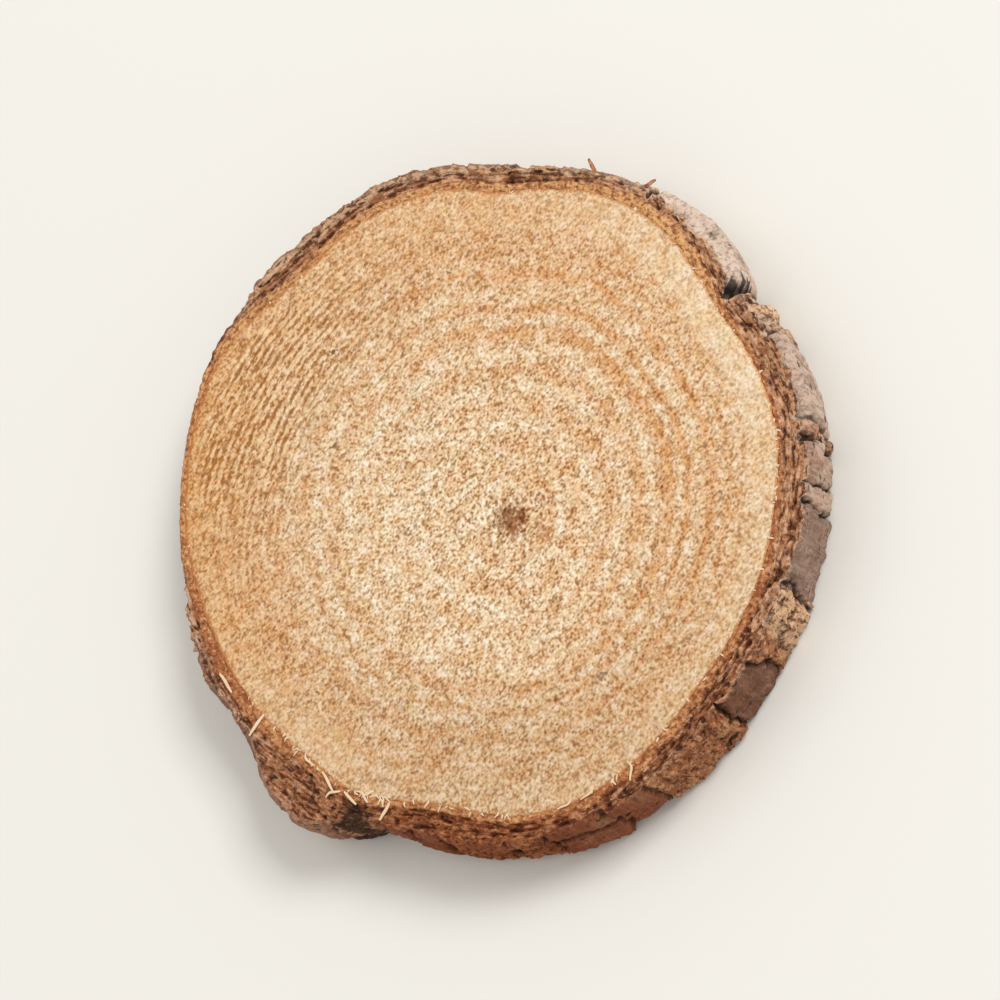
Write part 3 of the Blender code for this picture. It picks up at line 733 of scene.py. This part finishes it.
# Bark of a young conifer, dry: matte grey plates over orange-brown inner bark, torn dark where it was sawn.
barkFinish = {
    "tones": ((0.0, "55443b"), (0.25, "7d6455"), (0.5, "a08374"), (0.75, "c3a896"), (1.0, "dcc5b4")),
    "patterns": (  # size in mm along x, y and z; turn; detail
        ((0.55, 0.55, 0.55), 0.0, 2.0), ((0.7, 0.7, 2.6), 0.0, 2.0), ((6.0, 6.0, 5.0), 0.0, 2.0), ((2.2, 2.2, 2.2), 0.0, 3.0),
        ((1.1, 1.1, 1.4), 0.0, 2.0), ((0.55, 0.55, 6.0), 0.0, 1.0),
    ),
    "plateLayers": (
        (2, 0.56, 0.72, 0.30, "8b8672"), (2, 0.44, 0.30, 0.45, "8c5a42"), (5, 0.46, 0.36, 0.35, "6b4a38"),
        (5, 0.55, 0.68, 0.14, "d8c0b0"), (1, 0.44, 0.30, 0.45, "6b4a38"), (0, 0.42, 0.27, 0.50, "5e4334"),
    ),
    "tornTones": ((0.2, "9a6342"), (0.6, "bd8057"), (0.8, "d8a47c"), (1.0, "f0c8a4")),
    "tornLayers": (
        (2, 0.50, 0.36, 0.55, "8a4e2e"), (2, 0.54, 0.66, 0.45, "dcb17e"), (4, 0.52, 0.64, 0.50, "e2ae86"),
        (1, 0.48, 0.37, 0.75, "6b3a24"), (0, 0.44, 0.34, 0.80, "3a1c10"), (0, 0.58, 0.68, 0.45, "f2cdaa"),
    ),
    # painted shade in the fissures and in the cracks between plates
    "fissure": "24160f",
    "flakeEdge": "5e3f30",
    # near black, for the sooty crust and for painted shade in the dark hollows
    "crustAndShade": "0d0704",
    "skinSide": "94684c",
    "skinLayers": (
        (2, 0.50, 0.36, 0.60, "6e4c3b"), (5, 0.50, 0.38, 0.35, "5f3d2c"), (5, 0.55, 0.66, 0.25, "bf9068"),
        (3, 0.56, 0.68, 0.35, "b08462"), (4, 0.42, 0.34, 0.60, "5a3d30"), (0, 0.42, 0.32, 0.50, "4a2c1e"),
    ),
    # The sawn end: inner bark next to the wood, golden or red, then layered outer bark.
    "innerGold": "dda66e",
    "innerRed": "a8613c",
    "innerLamina": ((0.47, 0.38, 0.55, "7d4424"), (0.55, 0.66, 0.40, "e8b983")),
    "innerLayers": ((0, 0.48, 0.38, 0.75, "7a4023"), (0, 0.56, 0.67, 0.50, "f0c48c"), (4, 0.47, 0.36, 0.55, "8a4c2a")),
    "outerTones": ((0.1, "8a5637"), (0.5, "a8714d"), (0.9, "ba8560")),
    "tan": "e2bc96",          # the outer layer where the bark is golden
    "lamina": ((0.47, 0.38, 0.90, "4e2513"), (0.54, 0.63, 0.70, "e2b696")),
    "cutLayers": ((0, 0.56, 0.67, 0.40, "e6b48a"), (0, 0.43, 0.35, 0.55, "4a2412"), (4, 0.46, 0.35, 0.60, "602f1a")),
    "ruddy": "965230",
    "ruddyCut": "74401f",
    "deep": "dbb89c",         # painted shade: multiplies the bark darker and more orange-brown
    "skinEdge": "6b4338",
    "roughness": 0.9,
    "shine": 0.2,
}


def barkMaterial():
    finish = barkFinish
    material, tree = startMaterial("dryBark")
    place = addNode(tree, "ShaderNodeTexCoord", output=3)
    cutEnd, fromWood, fromEdge, ragged, plateTone, torn, fissure, flakeEdge, skin, crustAndShade, golden, ruddy, deep, bandEdge = (
        addNode(tree, "ShaderNodeAttribute", None, 2, attribute_name=name) for name in (
            "cutEnd", "fromWood", "fromEdge", "ragged", "plateTone", "torn", "fissure", "flakeEdge", "skin", "crustAndShade", "golden", "ruddy", "deep", "bandEdge"))
    fields = drawPatterns(tree, place, finish["patterns"])
    patch = addNode(tree, "ShaderNodeMath", {0: fields[3], 1: 0.5}, operation="SUBTRACT")

    shade = addNode(tree, "ShaderNodeMath", {0: patch, 1: 0.7, 2: plateTone}, operation="MULTIPLY_ADD")
    plate = addNode(tree, "ShaderNodeValToRGB", {0: shade})
    setStops(plate, [(at, colour(code)) for at, code in finish["tones"]])
    plate = paint(tree, plate, [ruddy], ((0, 0.0, 1.0, 0.85, finish["ruddy"]),))
    plate = paint(tree, plate, fields, finish["plateLayers"])
    tornTone = addNode(tree, "ShaderNodeValToRGB", {0: plateTone})
    setStops(tornTone, [(at, colour(code)) for at, code in finish["tornTones"]])
    tornTone = paint(tree, tornTone, fields, finish["tornLayers"])
    outer = addNode(tree, "ShaderNodeMix", {0: torn, 6: plate, 7: tornTone}, 2, data_type="RGBA")
    # dark flake edges, and painted shade in the fissures and cracks
    outer = paint(tree, outer, [flakeEdge, fissure], ((0, 0.0, 1.0, 0.28, finish["flakeEdge"]), (1, 0.15, 0.85, 0.9, finish["fissure"])))
    skinTone = paint(tree, colour(finish["skinSide"]), fields, finish["skinLayers"])
    outer = addNode(tree, "ShaderNodeMix", {0: skin, 6: outer, 7: skinTone}, 2, data_type="RGBA")
    # painted shade on the bark's outer side, darker and more orange-brown round the lower side
    outer = addNode(tree, "ShaderNodeMix", {0: deep, 6: outer, 7: colour(finish["deep"])}, 2, data_type="RGBA", blend_type="MULTIPLY")

    lamina = addNode(tree, "ShaderNodeAttribute", None, 1, attribute_name="lamina")
    lamina = addNode(tree, "ShaderNodeTexNoise", {"Vector": lamina, "Scale": 1.3, "Detail": 2.0})
    inner = addNode(tree, "ShaderNodeMix", {0: golden, 6: colour(finish["innerRed"]), 7: colour(finish["innerGold"])}, 2, data_type="RGBA")
    inner = paint(tree, inner, [lamina], [(0, *layer) for layer in finish["innerLamina"]])
    inner = paint(tree, inner, fields, finish["innerLayers"])
    edge = addNode(tree, "ShaderNodeMath", {0: patch, 1: 1.6, 2: fromEdge}, operation="MULTIPLY_ADD")
    edge = addNode(tree, "ShaderNodeMapRange", {"Value": edge, "From Min": 1.2, "From Max": 0.7})
    tanned = addNode(tree, "ShaderNodeMix", {0: golden, 6: plate, 7: colour(finish["tan"])}, 2, data_type="RGBA")
    tanned = addNode(tree, "ShaderNodeMix", {0: skin, 6: tanned, 7: colour(finish["skinEdge"])}, 2, data_type="RGBA")
    outerTone = addNode(tree, "ShaderNodeValToRGB", {0: shade})
    setStops(outerTone, [(at, colour(code)) for at, code in finish["outerTones"]])
    layered = addNode(tree, "ShaderNodeMix", {0: edge, 6: outerTone, 7: tanned}, 2, data_type="RGBA")
    layered = paint(tree, layered, [ruddy], ((0, 0.0, 1.0, 0.55, finish["ruddyCut"]),))
    layered = paint(tree, layered, [lamina], [(0, *layer) for layer in finish["lamina"]])
    layered = paint(tree, layered, fields, finish["cutLayers"])
    # painted shade in the pits of the torn outer bark and painted highlight between them
    layered = paint(tree, layered, [ragged], ((0, 0.35, 1.1, 0.75, "321509"), (0, -0.1, -0.9, 0.35, "e8b88c")))
    # painted shade on the sawn ends, darker and more orange-brown round the lower side
    layered = addNode(tree, "ShaderNodeMix", {0: deep, 6: layered, 7: colour(finish["deep"])}, 2, data_type="RGBA", blend_type="MULTIPLY")
    band = addNode(tree, "ShaderNodeMath", {0: patch, 1: 1.8, 2: bandEdge}, operation="MULTIPLY_ADD")
    band = addNode(tree, "ShaderNodeMapRange", {"Value": band, "From Min": 0.85, "From Max": 1.1})
    cut = addNode(tree, "ShaderNodeMix", {0: band, 6: inner, 7: layered}, 2, data_type="RGBA")

    tone = addNode(tree, "ShaderNodeMix", {0: cutEnd, 6: outer, 7: cut}, 2, data_type="RGBA")
    # sooty crust and painted shade in the dark hollows, fading out next to the wood
    sootAndShade = addNode(tree, "ShaderNodeMath", {0: lamina, 1: 3.0, 2: crustAndShade}, operation="MULTIPLY_ADD")
    sootAndShade = addNode(tree, "ShaderNodeMath", {0: patch, 1: 1.2, 2: sootAndShade}, operation="MULTIPLY_ADD")
    sootAndShade = addNode(tree, "ShaderNodeMath", {0: sootAndShade, 1: 1.5}, operation="SUBTRACT")
    inner = addNode(tree, "ShaderNodeMapRange", {"Value": fromWood, "From Min": 1.0, "From Max": 2.0, "To Min": 0.0, "To Max": 1.0})
    sootAndShade = addNode(tree, "ShaderNodeMath", {0: sootAndShade, 1: inner}, operation="MULTIPLY")
    tone = paint(tree, tone, [sootAndShade], ((0, 0.35, 0.8, 0.85, finish["crustAndShade"]),))

    height = addNode(tree, "ShaderNodeMath", {0: fields[1], 1: 0.8, 2: fields[0]}, operation="MULTIPLY_ADD")
    bump = addNode(tree, "ShaderNodeBump", {"Height": height, "Strength": 0.8, "Distance": 0.0004})
    shine = {"Base Color": tone, "Roughness": finish["roughness"], "Specular IOR Level": finish["shine"], "Normal": bump}
    shader = addNode(tree, "ShaderNodeBsdfPrincipled", shine)
    addNode(tree, "ShaderNodeOutputMaterial", {"Surface": shader})
    return material


wood = makeSawnWood()
ring = makeBark()
fibres, slivers = makeStrands()
dryBark = barkMaterial()
for piece, material in ((wood, woodMaterial()), (ring, dryBark), (fibres, fibreMaterial()), (slivers, dryBark)):
    piece.data.materials.clear()
    piece.data.materials.append(material)
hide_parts("wood_slice")
print("materials made")


# Floor, light and camera
studio = {
    "floor": "eeece6",
    "floorSize": 3.0,
    "worldLight": 0.60,
    # Softboxes: place in metres from the slice, size in metres, power in watts.
    "lights": (((1.1, 0.9, 1.5), 0.8, 23.0), ((-1.0, 0.2, 1.8), 1.4, 5.2)),
    "tilt": 30.0,         # between the line of sight and straight down
    "turnedTo": -33.0,    # the side of the slice that the camera leans over
    "distance": 0.50,
    "lens": 140.0,
    "aim": (0.0, 0.0, 0.005),
}


def makeFloor():
    startClean()
    bpy.ops.mesh.primitive_plane_add(size=studio["floorSize"], location=(0.0, 0.0, -0.0001))
    floor = bpy.context.object
    floor.name = "floor"
    material, tree = startMaterial("palePaper")
    shader = addNode(tree, "ShaderNodeBsdfPrincipled", {"Base Color": colour(studio["floor"]), "Roughness": 0.9})
    addNode(tree, "ShaderNodeOutputMaterial", {"Surface": shader})
    floor.data.materials.append(material)


def makeLights():
    world = bpy.data.worlds.new("studio")
    bpy.context.scene.world = world
    world.use_nodes = True
    background = world.node_tree.nodes["Background"]
    background.inputs["Color"].default_value = colour("fffdf8")
    background.inputs["Strength"].default_value = studio["worldLight"]
    for k, (place, size, power) in enumerate(studio["lights"]):
        light = bpy.data.lights.new(f"softbox{k}", "AREA")
        light.size = size
        light.energy = power
        lamp = bpy.data.objects.new(light.name, light)
        bpy.context.scene.collection.objects.link(lamp)
        lamp.location = place
        lamp.rotation_mode = "QUATERNION"
        lamp.rotation_quaternion = (-Vector(place)).to_track_quat("-Z", "Y")


def makeCamera():
    tilt, turned = math.radians(studio["tilt"]), math.radians(studio["turnedTo"])
    lean = Vector((math.cos(turned), math.sin(turned), 0.0))
    level = Vector((-lean.y, lean.x, 0.0))
    toCamera = Vector((0.0, 0.0, math.cos(tilt))) + lean * math.sin(tilt)
    seenLean = lean * math.cos(tilt) - Vector((0.0, 0.0, math.sin(tilt)))
    right = lean.x * seenLean + level.x * level
    up = lean.y * seenLean + level.y * level
    data = bpy.data.cameras.new("camera")
    data.lens = studio["lens"]
    camera = bpy.data.objects.new("camera", data)
    bpy.context.scene.collection.objects.link(camera)
    place = Matrix((right, up, toCamera)).transposed().to_4x4()
    place.translation = Vector(studio["aim"]) + toCamera * studio["distance"]
    camera.matrix_world = place
    bpy.context.scene.camera = camera


makeFloor()
makeLights()
makeCamera()
bpy.context.scene.view_settings.view_transform = "Standard"
print("studio made")
